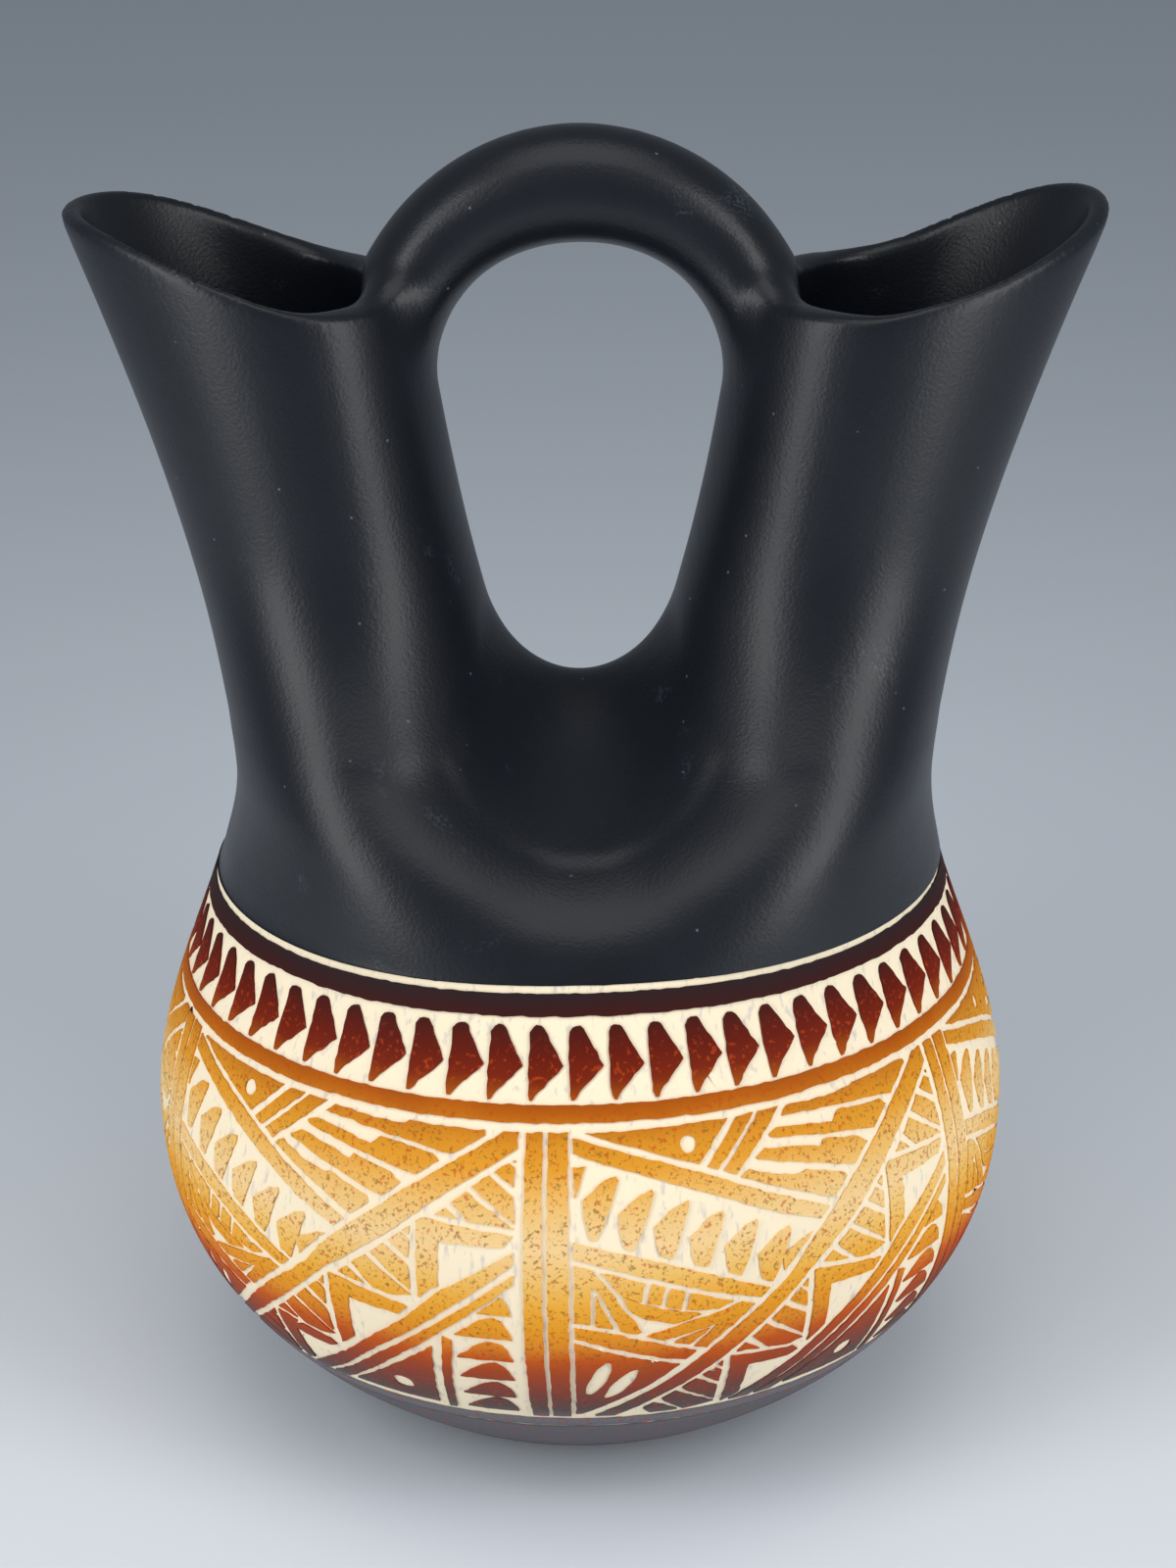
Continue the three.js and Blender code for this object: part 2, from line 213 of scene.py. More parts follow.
DARK_TRIANGLE = ((43.9, 62.9), (42.8, 44.6), (29.6, 44.6))
NARROW_BAR = ((45.3, 65.9), (46.5, 65.2), (45.2, 43.0), (44.1, 43.0))
HALF_MOON_RISES = (72.4, 66.9, 61.4, 56.0, 50.4, 45.0)
HALF_MOON_TURNS = (47.0, 54.0)
HALF_MOON_HEIGHT = 4.6

# Each dot is given by its turn, rise and radius
DOTS = ((14.1, 103.8, 1.55), (38.4, 49.8, 2.1))

SLIP_NAME = "sprayed_slip"
CLAY_NAME = "scraped_clay"
BLACK_NAME = "satin_black_slip"

# Places of the three materials on the bowl
SLIP_FACE, CLAY_FACE, WALL_FACE = range(3)

# Without a seed the scraped edges would wander in another way at each run
WANDER_SEED = 11


def linear(code):
    """Turns an sRGB hex colour into the linear values that Blender mixes."""
    values = [int(code[i:i + 2], 16) / 255 for i in (1, 3, 5)]
    return tuple(v / 12.92 if v <= 0.04045 else ((v + 0.055) / 1.055) ** 2.4 for v in values)


class VaseStageSettings(bpy.types.PropertyGroup):
    """Camera and floor."""
    lens: bpy.props.FloatProperty(
        name="Lens", description="Focal length of the camera", default=67.5, unit="CAMERA")
    distance: bpy.props.FloatProperty(
        name="Distance", description="From the vase's axis to the camera, along the floor",
        default=533 * MM, unit="LENGTH")
    height: bpy.props.FloatProperty(
        name="Height", description="Of the camera over the floor", default=349 * MM, unit="LENGTH")
    pitch: bpy.props.FloatProperty(
        name="Pitch", description="How far the camera looks down", default=math.radians(22.8),
        unit="ROTATION")
    axis_shift: bpy.props.FloatProperty(
        name="Axis shift", description="How far the vase stands left of the picture's middle, in its height",
        default=8 / 1600)
    floor_colour: bpy.props.FloatVectorProperty(
        name="Floor", description="Colour of the floor", subtype="COLOR", default=linear("#DDE3EA"))


class VaseSkinSettings(bpy.types.PropertyGroup):
    """How the clay members are fused into one skin."""
    seam: bpy.props.FloatProperty(
        name="Seam", description="Widest dry joint that the fused skin closes", default=0.5 * MM,
        unit="LENGTH")
    corner: bpy.props.FloatProperty(
        name="Corner", description="Radius of the inner corners where members meet", default=8 * MM,
        unit="LENGTH")
    saddle_corner: bpy.props.FloatProperty(
        name="Saddle corner", description="Radius of the inner corners beside the saddle", default=16 * MM,
        unit="LENGTH")
    rounds: bpy.props.IntProperty(
        name="Rounds", description="How often the fused skin is smoothed and let swell again", default=30)
    grain: bpy.props.FloatProperty(
        name="Grain", description="Size of the fused skin's faces", default=1.3 * MM, unit="LENGTH")
    waviness: bpy.props.FloatProperty(
        name="Waviness", description="Unevenness that the potter's hands leave", default=0.18 * MM,
        unit="LENGTH")
    wave_length: bpy.props.FloatProperty(
        name="Wave length", description="Distance from one swelling to the next", default=34 * MM,
        unit="LENGTH")


class VaseOrnamentSettings(bpy.types.PropertyGroup):
    """The etched ornament on the bowl."""
    depth: bpy.props.FloatProperty(
        name="Depth", description="How deep the slip is scraped away", default=0.35 * MM, unit="LENGTH")
    tilt: bpy.props.FloatProperty(
        name="Tilt", description="How far the bands rise on their high side", default=2.5 * MM,
        unit="LENGTH")
    tilt_turn: bpy.props.FloatProperty(
        name="Tilt turn", description="Where the bands are highest, from the front",
        default=math.radians(40), unit="ROTATION")
    edge_step: bpy.props.FloatProperty(
        name="Edge step", description="Spacing of points along a scraped edge", default=1.3 * MM,
        unit="LENGTH")
    grid_step: bpy.props.FloatProperty(
        name="Grid step", description="Spacing of points inside the shapes", default=3 * MM, unit="LENGTH")
    raggedness: bpy.props.FloatProperty(
        name="Raggedness", description="How far a scraped edge wanders", default=0.3 * MM, unit="LENGTH")
    wall: bpy.props.FloatProperty(
        name="Wall", description="Thickness of the bowl's wall", default=5 * MM, unit="LENGTH")


class VaseColourSettings(bpy.types.PropertyGroup):
    """Colours of the slips and the clay."""
    black: bpy.props.FloatVectorProperty(
        name="Black slip", description="Satin black of the spouts", subtype="COLOR",
        default=linear("#12151B"))
    clay: bpy.props.FloatVectorProperty(
        name="Clay", description="Pale clay where the slip is scraped away", subtype="COLOR",
        default=linear("#F5E5C6"))


def settings(name):
    return getattr(bpy.context.scene, name)


def set_mode(mode):
    bpy.ops.object.mode_set(mode=mode)


def deselect():
    """Leaves nothing selected and no mesh in edit mode."""
    if bpy.context.object and bpy.context.object.mode != "OBJECT":
        set_mode("OBJECT")
    bpy.ops.object.select_all(action="DESELECT")


def make_active(piece):
    deselect()
    piece.select_set(True)
    bpy.context.view_layer.objects.active = piece


def edit_all(piece):
    """Opens the piece in edit mode with all of it selected."""
    make_active(piece)
    set_mode("EDIT")
    bpy.ops.mesh.select_all(action="SELECT")


def rename(piece, name):
    piece.name = name
    piece.data.name = name


def apply_modifier(piece, kind, **values):
    """Adds a modifier with its values and applies it."""
    make_active(piece)
    modifier = piece.modifiers.new(kind.lower(), kind)
    for name, value in values.items():
        setattr(modifier, name, value)
    bpy.ops.object.modifier_apply(modifier=modifier.name)


def smooth_clay_copy(node, levels=ROUNDING_LEVELS):
    """A copy of a clay member with its facets rounded. Its flat ends stay flat and meet the next one."""
    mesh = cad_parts[node].data.copy()
    piece = bpy.data.objects.new(f"{node}_copy", mesh)
    bpy.context.scene.collection.objects.link(piece)
    edit_all(piece)
    bpy.ops.mesh.remove_doubles(threshold=0.01 * MM)
    bpy.ops.mesh.tris_convert_to_quads(face_threshold=math.radians(40), shape_threshold=math.radians(70))
    bpy.ops.mesh.select_mode(type="EDGE")
    bpy.ops.mesh.select_all(action="DESELECT")
    bpy.ops.mesh.edges_select_sharp(sharpness=RIM_SHARPNESS)
    bpy.ops.transform.edge_crease(value=1)
    select_level_ends(piece)
    bpy.ops.transform.edge_crease(value=1)
    set_mode("OBJECT")
    apply_modifier(piece, "SUBSURF", levels=levels, render_levels=levels)
    return piece


def select_level_ends(piece):
    """Selects the rims of the piece's level faces at its top and bottom, in edit mode."""
    set_mode("OBJECT")
    near = 0.02 * MM
    level = 0.999
    heights = [vertex.co.z for vertex in piece.data.vertices]
    ends = (min(heights), max(heights))
    for face in piece.data.polygons:
        at_end = any(abs(face.center.z - end) < near for end in ends)
        face.select = at_end and abs(face.normal.z) > level
    set_mode("EDIT")
    bpy.ops.mesh.select_mode(type="FACE")
    bpy.ops.mesh.region_to_loop()


def joined(pieces, name):
    """All the pieces as one, under a new name."""
    deselect()
    for piece in pieces:
        piece.select_set(True)
    bpy.context.view_layer.objects.active = pieces[0]
    bpy.ops.object.join()
    rename(pieces[0], name)
    return pieces[0]


def swell(piece, amount):
    """Moves the whole skin outwards, or inwards where the amount is negative."""
    edit_all(piece)
    bpy.ops.transform.shrink_fatten(value=amount)
    set_mode("OBJECT")


def fuse(piece, grain):
    """Makes one even skin of all that overlaps in the piece."""
    apply_modifier(piece, "REMESH", mode="VOXEL", voxel_size=grain)


def part_within(piece, place, reach):
    """A copy of the piece, cut to an oval ball round a place."""
    deselect()
    bpy.ops.mesh.primitive_ico_sphere_add(subdivisions=4, radius=1, location=place, scale=reach)
    ball = bpy.context.object
    part = bpy.data.objects.new("part", piece.data.copy())
    bpy.context.scene.collection.objects.link(part)
    apply_modifier(part, "BOOLEAN", operation="INTERSECT", object=ball, solver="EXACT")
    bpy.data.objects.remove(ball)
    if not part.data.polygons:
        raise RuntimeError("Nothing of the skin lies within the ball")
    return part


def fill_corners(piece, radius, grain):
    """Rounds the inner corners to a radius, as a wet thumb does, and leaves the outer ones."""
    steps = round(radius / SWELL_STEP)
    for _ in range(steps):
        swell(piece, radius / steps)
        fuse(piece, grain)
    for _ in range(2 * steps):
        apply_modifier(piece, "SMOOTH", factor=0.5, iterations=1)
        swell(piece, -radius / steps / 2)
        fuse(piece, grain)


def relax(piece, rounds):
    """Evens out the skin's faces without thinning it: each smoothing is followed by its undoing."""
    for _ in range(rounds):
        apply_modifier(piece, "SMOOTH", factor=0.5, iterations=1)
        apply_modifier(piece, "SMOOTH", factor=-0.53, iterations=1)


def tilt_rise(turn, rise, tilt, tilt_turn, foot_rise):
    """How far the slanted bands stand above their mean rise. The slant fades out towards the foot."""
    fade = min(1.0, max(0.0, (rise - foot_rise) / (BANDS["foot_line"][0] - foot_rise)))
    return tilt * fade * math.cos(math.radians(turn) - tilt_turn)


class BowlOutline:
    """Outside of the bowl as a smooth function of turn and height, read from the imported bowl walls.

    At some levels the wall is measured all round by rays from far outside, and kept as a few even waves of
    the turn. A spline runs through the levels. The seams between the members are passed over.
    """

    harmonics = 4
    turns = 48
    heights = 34
    lowest = 0.6 * MM
    above_shoulder_seam = 6 * MM
    seam_margin = 1.2 * MM
    arc_steps = 2000
    far = 0.3

    def __init__(self):
        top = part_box("shoulder")[0].z + self.above_shoulder_seam
        copies = [smooth_clay_copy(node) for node in ("base", "lower_bowl", "upper_bowl", "shoulder")]
        trees = [self._tree(copy.data) for copy in copies]
        angles = np.arange(self.turns) * 2 * math.pi / self.turns
        levels = self._levels(top)
        rows = []
        for z in levels:
            reach = [self._reach(trees, angle, z) for angle in angles]
            rows.append([np.mean(np.array(reach) * np.cos(2 * k * angles)) * (2 if k else 1)
                         for k in range(self.harmonics)])
        self.levels = np.array(levels)
        self.rows = np.array(rows)
        self.bends = self._bends()
        for copy in copies:
            bpy.data.objects.remove(copy)
        self.fine = np.linspace(0, top, self.arc_steps)
        mean = np.array([self._terms(z)[0] for z in self.fine])
        self.arc = np.concatenate([[0], np.cumsum(np.hypot(np.diff(self.fine), np.diff(mean)))])

    def _tree(self, mesh):
        corners = [vertex.co for vertex in mesh.vertices]
        return BVHTree.FromPolygons(corners, [face.vertices[:] for face in mesh.polygons])

    def _levels(self, top):
        """Heights up to the top that stand clear of the seams."""
        low_wall_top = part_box("lower_bowl")[1].z
        high_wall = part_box("upper_bowl")
        seams = (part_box("base")[1].z, (low_wall_top + high_wall[0].z) / 2, high_wall[1].z)
        return [z for z in np.linspace(self.lowest, top, self.heights)
                if all(abs(z - seam) > self.seam_margin for seam in seams)]

    def _reach(self, trees, angle, z):
        """Distance from the axis to the outermost wall."""
        outwards = Vector((math.sin(angle), -math.cos(angle), 0))
        start = outwards * self.far + Vector((0, 0, z))
        hits = [tree.ray_cast(start, -outwards, self.far) for tree in trees]
        return self.far - min(hit[3] for hit in hits if hit[3] is not None)

    def _bends(self):
        """Second derivatives of a natural cubic spline through the rows."""
        gaps = np.diff(self.levels)
        count = len(self.levels)
        matrix = np.eye(count)
        right = np.zeros_like(self.rows)
        for i in range(1, count - 1):
            matrix[i, i - 1:i + 2] = (gaps[i - 1], 2 * (gaps[i - 1] + gaps[i]), gaps[i])
            up = (self.rows[i + 1] - self.rows[i]) / gaps[i]
            down = (self.rows[i] - self.rows[i - 1]) / gaps[i - 1]
            right[i] = 6 * (up - down)
        return np.linalg.solve(matrix, right)

    def _terms(self, z):
        """Sizes of the waves at a height."""
        i = int(np.clip(np.searchsorted(self.levels, z) - 1, 0, len(self.levels) - 2))
        gap = self.levels[i + 1] - self.levels[i]
        a = (self.levels[i + 1] - z) / gap
        b = 1 - a
        bend = (a ** 3 - a) * self.bends[i] + (b ** 3 - b) * self.bends[i + 1]
        return a * self.rows[i] + b * self.rows[i + 1] + bend * gap ** 2 / 6

    def radius(self, turn, z):
        angle = math.radians(turn)
        return float(sum(term * math.cos(2 * k * angle) for k, term in enumerate(self._terms(z))))

    def rise_at(self, z):
        """Way up the wall to a height."""
        return float(np.interp(z, self.fine, self.arc))

    def height_at(self, rise):
        return float(np.interp(rise, self.arc, self.fine))

    def point(self, turn, z):
        angle = math.radians(turn)
        reach = self.radius(turn, z)
        return Vector((reach * math.sin(angle), -reach * math.cos(angle), z))


def top_plane(outline):
    """Point and normal of the slanted plane between the etched bowl and the black shoulder."""
    ornament = settings("vase_ornament")
    middle = outline.height_at(TOP_RISE * MM)
    step = 1 * MM
    per_rise = (outline.height_at(TOP_RISE * MM + step) - middle) / step
    mean_turn = 45
    climb = ornament.tilt * per_rise / outline.radius(mean_turn, middle)
    normal = Vector((-climb * math.sin(ornament.tilt_turn), climb * math.cos(ornament.tilt_turn), 1))
    return Vector((0, 0, middle)), normal.normalized()


def keep_above(piece, place, normal):
    """Cuts the piece by a plane, keeps what stands above it and closes the cut."""
    edit_all(piece)
    bpy.ops.mesh.bisect(plane_co=place, plane_no=normal, use_fill=True, clear_inner=True)
    set_mode("OBJECT")


def ring_band(low, high):
    """A band all round the vase."""
    steps = 120
    turns = [LEFT_PANEL_START + 360 * i / steps for i in range(steps + 1)]
    return [(turn, low) for turn in turns] + [(turn, high) for turn in reversed(turns)]


def panel_spans():
    """Start and width of every panel: two as they stand at the front, and the others even."""
    starts = [LEFT_PANEL_START, *PANEL_TURNS]
    even = (360 + LEFT_PANEL_START - PANEL_TURNS[1]) / (PANELS - 2)
    starts += [PANEL_TURNS[1] + even * i for i in range(1, PANELS - 1)]
    return [(starts[i], starts[i + 1] - starts[i]) for i in range(PANELS)]


def place_in_panel(point, start, width):
    """A point of the front panel, carried over to the panel that starts there."""
    share = (point[0] - PANEL_TURNS[0]) / (PANEL_TURNS[1] - PANEL_TURNS[0])
    return start + share * width, point[1]


def moved(outline, step):
    return [(turn + step[0], rise + step[1]) for turn, rise in outline]


def strip(edges):
    """Outline of a stripe from its two edges."""
    one, other = edges
    return list(one) + list(reversed(other))


def oval(one_end, other_end, half_width, points=20):
    """An oval round the line between its two ends."""
    one = Vector((one_end[0] * MM_PER_DEGREE, one_end[1]))
    other = Vector((other_end[0] * MM_PER_DEGREE, other_end[1]))
    along = (one - other) / 2
    across = Vector((-along.y, along.x)).normalized() * half_width
    middle = (one + other) / 2
    angles = [2 * math.pi * i / points for i in range(points)]
    places = [middle + along * math.cos(a) + across * math.sin(a) for a in angles]
    return [(place.x / MM_PER_DEGREE, place.y) for place in places]


def dot(turn, rise, radius):
    return oval((turn, rise + radius), (turn, rise - radius), radius, points=16)


def turns_left(points):
    """Whether the outline runs counterclockwise."""
    return sum(a[0] * b[1] - b[0] * a[1] for a, b in zip(points, points[1:] + points[:1])) >= 0


def grown(outline, margin):
    """The outline moved outwards by a margin, with its sharp corners cut short."""
    narrow = 0.5
    shortest = 0.45
    points = [Vector((turn * MM_PER_DEGREE, rise)) for turn, rise in outline]
    side = 1 if turns_left(points) else -1
    result = []
    for i, point in enumerate(points):
        before = (point - points[i - 1]).normalized()
        after = (points[(i + 1) % len(points)] - point).normalized()
        normals = [Vector((edge.y, -edge.x)) * side for edge in (before, after)]
        mean = normals[0] + normals[1]
        if mean.length < narrow:
            result += [point + normal * margin for normal in normals]
            continue
        mean.normalize()
        result.append(point + mean * margin / max(shortest, mean.dot(normals[0])))
    return [(place.x / MM_PER_DEGREE, place.y) for place in result]


def half_moon(rise):
    """A rounded hill on a flat base, its top nearer to the right."""
    left, right = HALF_MOON_TURNS
    lean = 1.2
    fullness = 0.8
    steps = 8
    shares = [i / steps for i in range(1, steps)]
    top = [(right - (right - left) * share ** lean,
            rise + HALF_MOON_HEIGHT * math.sin(math.pi * share ** fullness)) for share in shares]
    return [(left, rise), (right, rise)] + top


def panel_shapes():
    """Shapes of one panel in painting order, as (is slip, outline)."""
    shapes = []

    def paint(outline, border=0.0):
        if border:
            shapes.append((False, grown(outline, border)))
        shapes.append((True, list(outline)))

    for step in FAN_STEPS:
        for blade in FAN:
            paint(moved(blade, step))
    for chevron in CHEVRONS:
        paint(chevron, GAP)
    for feather in FEATHERS:
        paint(feather)
    for i in range(KITE_COUNT):
        paint(moved(KITE, (KITE_STEP[0] * i, KITE_STEP[1] * i)))
    for shape in (LEFT_KITE, RIGHT_KITE, TENT, BOAT, CRESCENT, WING, WING_TIP, LOW_FIELD):
        paint(shape)
    for line in TENT_LINES + BOAT_LINES:
        shapes.append((False, list(line)))
    paint(DOTTED_TRIANGLE)
    for bar in LEANING_BARS:
        paint(bar, GAP / 2)
    for stripe in (STRIPE_FALL_TOP, STRIPE_FALL_MIDDLE, STRIPE_FALL_LOW, STRIPE_CLIMB_LEFT):
        paint(strip(stripe), GAP)
    for rise in HALF_MOON_RISES:
        paint(half_moon(rise))
    paint(DARK_TRIANGLE)
    paint(NARROW_BAR, GAP / 2)
    paint(strip(STRIPE_CLIMB_MIDDLE), GAP)
    paint(strip(STRIPE_CLIMB_RIGHT), GAP / 2)
    for ends in LOW_OVALS:
        shapes.append((False, oval(*ends)))
    for place in DOTS:
        shapes.append((False, dot(*place)))
    return shapes + panel_frame()


def panel_frame():
    """Clears the panel's two sides, and stands the two bars at its left."""
    low, high = BANDS["panel"]
    left, right = FIELD_TURNS
    start, end = PANEL_TURNS
    sides = [
        [(start, low), (left + FIELD_LEAN, low), (left, high), (start, high)],
        [(right, low), (end, low), (end, high), (right, high)],
    ]
    return [(False, side) for side in sides] + [(True, list(bar)) for bar in BARS]


def all_shapes(foot_rise):
    """Every shape on the bowl in painting order, as (is slip, outline)."""
    shapes = [(True, ring_band(foot_rise, TOP_RISE))]
    shapes.append((False, ring_band(BANDS["low_line"][0], BANDS["panel_line"][1])))
    for start, width in panel_spans():
        for is_slip, outline in panel_shapes():
            shapes.append((is_slip, [place_in_panel(point, start, width) for point in outline]))
    for name in ("foot_line", "low_line", "panel_line", "teeth", "top_line"):
        shapes.append((False, ring_band(*BANDS[name])))
    for name in ("slate_stripe", "ochre_stripe", "dark_stripe"):
        shapes.append((True, ring_band(*BANDS[name])))
    pitch = 360 / TOOTH_COUNT
    first = math.ceil((LEFT_PANEL_START - TOOTH_START) / pitch)
    for i in range(first, first + TOOTH_COUNT):
        shapes.append((True, moved(TOOTH, (TOOTH_START + pitch * i, 0))))
    return shapes


def with_steps(outline, step):
    """The outline counterclockwise, with points added along its edges so that it follows the curved wall."""
    if not turns_left(outline):
        outline = outline[::-1]
    points = []
    for i, start in enumerate(outline):
        end = outline[(i + 1) % len(outline)]
        length = math.hypot((end[0] - start[0]) * MM_PER_DEGREE, end[1] - start[1])
        pieces = max(1, round(length / step))
        points += [tuple(a + (b - a) * j / pieces for a, b in zip(start, end)) for j in range(pieces)]
    return points


def flat_ornament(foot_rise, edge_step, grid_step):
    """Triangles of the whole ornament unrolled: points, triangles and whether each one is slip."""
    shapes = all_shapes(foot_rise)
    points = []
    outlines = []
    for _, outline in shapes:
        outline = with_steps(list(outline), edge_step)
        outlines.append(list(range(len(points), len(points) + len(outline))))
        points += outline
    low = foot_rise + grid_step / 2
    rows = int((TOP_RISE - low) / grid_step)
    columns = int(360 * MM_PER_DEGREE / grid_step)
    for row in range(rows):
        for column in range(columns):
            shift = 0.25 if row % 2 else 0.75
            points.append((LEFT_PANEL_START + 360 * (column + shift) / columns, low + row * grid_step))
    flat = [Vector((turn * MM_PER_DEGREE, rise)) for turn, rise in points]
    inside_only = 1
    tolerance = 0.02
    places, _, triangles, _, _, origins = delaunay_2d_cdt(flat, [], outlines, inside_only, tolerance)
    is_slip = [shapes[max(origin)][0] for origin in origins]
    return [(place.x / MM_PER_DEGREE, place.y) for place in places], triangles, is_slip


def add_node(tree, kind, inputs=None, links=None, **values):
    """Adds a shader node with its settings, socket values and incoming links."""
    node = tree.nodes.new(kind)
    for name, value in values.items():
        setattr(node, name, value)
    for socket, value in (inputs or {}).items():
        node.inputs[socket].default_value = value
    for socket, source in (links or {}).items():
        tree.links.new(source, node.inputs[socket])
    return node


def new_material(name):
    """An empty material with its output and shader."""
    material = bpy.data.materials.new(name)
    material.use_nodes = True
    tree = material.node_tree
    tree.nodes.clear()
    output = add_node(tree, "ShaderNodeOutputMaterial")
    shader = add_node(tree, "ShaderNodeBsdfPrincipled")
    tree.links.new(shader.outputs["BSDF"], output.inputs["Surface"])
    return material, tree, shader


def ramp(node, stops):
    """Gives a colour ramp its stops, as (place, linear colour)."""
    elements = node.color_ramp.elements
    while len(elements) > 1:
        elements.remove(elements[-1])
    for i, (place, colour) in enumerate(stops):
        element = elements[0] if i == 0 else elements.new(place)
        element.position = place
        element.color = (*colour, 1)


def black_slip_material():
    """Burnished black slip: smooth but not glazed, so that a soft light spreads into a broad grey sheen.

    It is a little cloudy, and pale flecks and a few dull scuffs lie in its fine grain.
    """
    material, tree, shader = new_material(BLACK_NAME)
    colours = settings("vase_colours")
    place = add_node(tree, "ShaderNodeTexCoord").outputs["Object"]
    cloud = add_node(tree, "ShaderNodeTexNoise", {"Scale": 1 / (22 * MM), "Detail": 3}, {"Vector": place})
    grain = add_node(tree, "ShaderNodeTexNoise", {"Scale": 1 / (0.7 * MM), "Detail": 2}, {"Vector": place})
    dark, light = 0.8, 1.25
    shade = add_node(
        tree, "ShaderNodeMix",
        {"A": (*[c * dark for c in colours.black], 1), "B": (*[c * light for c in colours.black], 1)},
        {"Factor": cloud.outputs["Fac"]}, data_type="RGBA")
    fleck = add_node(tree, "ShaderNodeTexVoronoi", {"Scale": 1 / (7 * MM)}, {"Vector": place})
    fleck_mask = add_node(
        tree, "ShaderNodeMapRange",
        {"From Min": 0.02, "From Max": 0.05, "To Min": 1, "To Max": 0}, {"Value": fleck.outputs["Distance"]})
    flecked = add_node(
        tree, "ShaderNodeMix", {"B": (*linear("#565B63"), 1)},
        {"Factor": fleck_mask.outputs["Result"], "A": shade.outputs["Result"]}, data_type="RGBA")
    patch = add_node(tree, "ShaderNodeTexNoise", {"Scale": 1 / (13 * MM), "Detail": 4}, {"Vector": place})
    patch_mask = add_node(
        tree, "ShaderNodeMapRange", {"From Min": 0.66, "From Max": 0.8, "To Min": 0, "To Max": 0.8},
        {"Value": patch.outputs["Fac"]})
    grain_mask = add_node(
        tree, "ShaderNodeMapRange", {"From Min": 0.48, "From Max": 0.64, "To Min": 0},
        {"Value": grain.outputs["Fac"], "To Max": patch_mask.outputs["Result"]})
    scuffed = add_node(
        tree, "ShaderNodeMix", {"B": (*linear("#41464E"), 1)},
        {"Factor": grain_mask.outputs["Result"], "A": flecked.outputs["Result"]}, data_type="RGBA")
    tree.links.new(scuffed.outputs["Result"], shader.inputs["Base Color"])
    rough = add_node(
        tree, "ShaderNodeMapRange", {"To Min": 0.3, "To Max": 0.42}, {"Value": cloud.outputs["Fac"]})
    tree.links.new(rough.outputs["Result"], shader.inputs["Roughness"])
    bump = add_node(tree, "ShaderNodeBump", {"Strength": 0.8, "Distance": 0.075 * MM},
                    {"Height": grain.outputs["Fac"]})
    tree.links.new(bump.outputs["Normal"], shader.inputs["Normal"])
    shader.inputs["Specular IOR Level"].default_value = 0.34
    return material


# Sprayed colours up the wall, from the dark foot through red, ochre and pale sand back to black
# The stops near the foot are darker partly from the slip's own colour and partly from painted shade where the
# bowl turns under
SPRAY_AND_UNDERSIDE_SHADE = (
    (36.0, "#62636A"), (41.0, "#727279"), (46.0, "#5A4E4E"), (50.0, "#6E4540"), (54.0, "#8A4236"),
    (58.0, "#A24626"), (62.0, "#C2561A"), (66.0, "#DA8626"), (70.0, "#E29725"), (75.0, "#E8A83B"),
    (80.0, "#ECBC67"), (86.0, "#EEC98E"), (90.0, "#E9C27F"), (95.0, "#E6B25F"), (100.0, "#DB962C"),
    (104.0, "#D28B22"), (110.2, "#B05A06"), (116.0, "#742006"), (120.0, "#611605"), (125.0, "#40140E"),
    (128.7, "#331818"), (132.3, "#221F24"),
)
# Specks: their spacing in mm, the rise at which they have faded out, and their colour
SPECKS = ((0.9, 124.0, "#B4400E"), (0.75, 112.0, "#6A5A22"))
SPECK_FADE = 6
# How far the sprayed colours drift up and down, as a share of the bowl's rise
SPRAY_DRIFT = 0.014


def sprayed_slip_material():
    """Slip sprayed in passes: the colours run into each other up the wall in fine red and dark specks."""
    material, tree, shader = new_material(SLIP_NAME)
    coordinates = add_node(tree, "ShaderNodeTexCoord")
    place = coordinates.outputs["Object"]
    rise = add_node(tree, "ShaderNodeSeparateXYZ", links={"Vector": coordinates.outputs["UV"]})
    cloud = add_node(tree, "ShaderNodeTexNoise", {"Scale": 1 / (14 * MM), "Detail": 3}, {"Vector": place})
    drift = add_node(
        tree, "ShaderNodeMapRange", {"To Min": -SPRAY_DRIFT, "To Max": SPRAY_DRIFT},
        {"Value": cloud.outputs["Fac"]})
    level = add_node(tree, "ShaderNodeMath", operation="ADD")
    tree.links.new(rise.outputs["Y"], level.inputs[0])
    tree.links.new(drift.outputs["Result"], level.inputs[1])
    # The ramp gives the sprayed colours, and near the foot painted shade of the bowl's underside as well
    spray = add_node(tree, "ShaderNodeValToRGB", links={"Fac": level.outputs["Value"]})
    ramp(spray, [(height / TOP_RISE, linear(code)) for height, code in SPRAY_AND_UNDERSIDE_SHADE])
    colour = spray.outputs["Color"]
    for size, top, code in SPECKS:
        speck = add_node(
            tree, "ShaderNodeTexNoise", {"Scale": 1 / (size * MM), "Detail": 1}, {"Vector": place})
        zone = add_node(
            tree, "ShaderNodeMapRange",
            {"From Min": (top - SPECK_FADE) / TOP_RISE, "From Max": top / TOP_RISE, "To Min": 0.6,
             "To Max": 0}, {"Value": rise.outputs["Y"]})
        mask = add_node(
            tree, "ShaderNodeMapRange", {"From Min": 0.6, "From Max": 0.7, "To Min": 0},
            {"Value": speck.outputs["Fac"], "To Max": zone.outputs["Result"]})
        mixed = add_node(
            tree, "ShaderNodeMix", {"B": (*linear(code), 1)},
            {"Factor": mask.outputs["Result"], "A": colour}, data_type="RGBA")
        colour = mixed.outputs["Result"]
    tree.links.new(colour, shader.inputs["Base Color"])
    shader.inputs["Roughness"].default_value = 0.7
    shader.inputs["Specular IOR Level"].default_value = 0.1
    grain = add_node(tree, "ShaderNodeTexNoise", {"Scale": 1 / (0.8 * MM), "Detail": 2}, {"Vector": place})
    bump = add_node(tree, "ShaderNodeBump", {"Strength": 0.5, "Distance": 0.03 * MM},
                    {"Height": grain.outputs["Fac"]})
    tree.links.new(bump.outputs["Normal"], shader.inputs["Normal"])
    return material


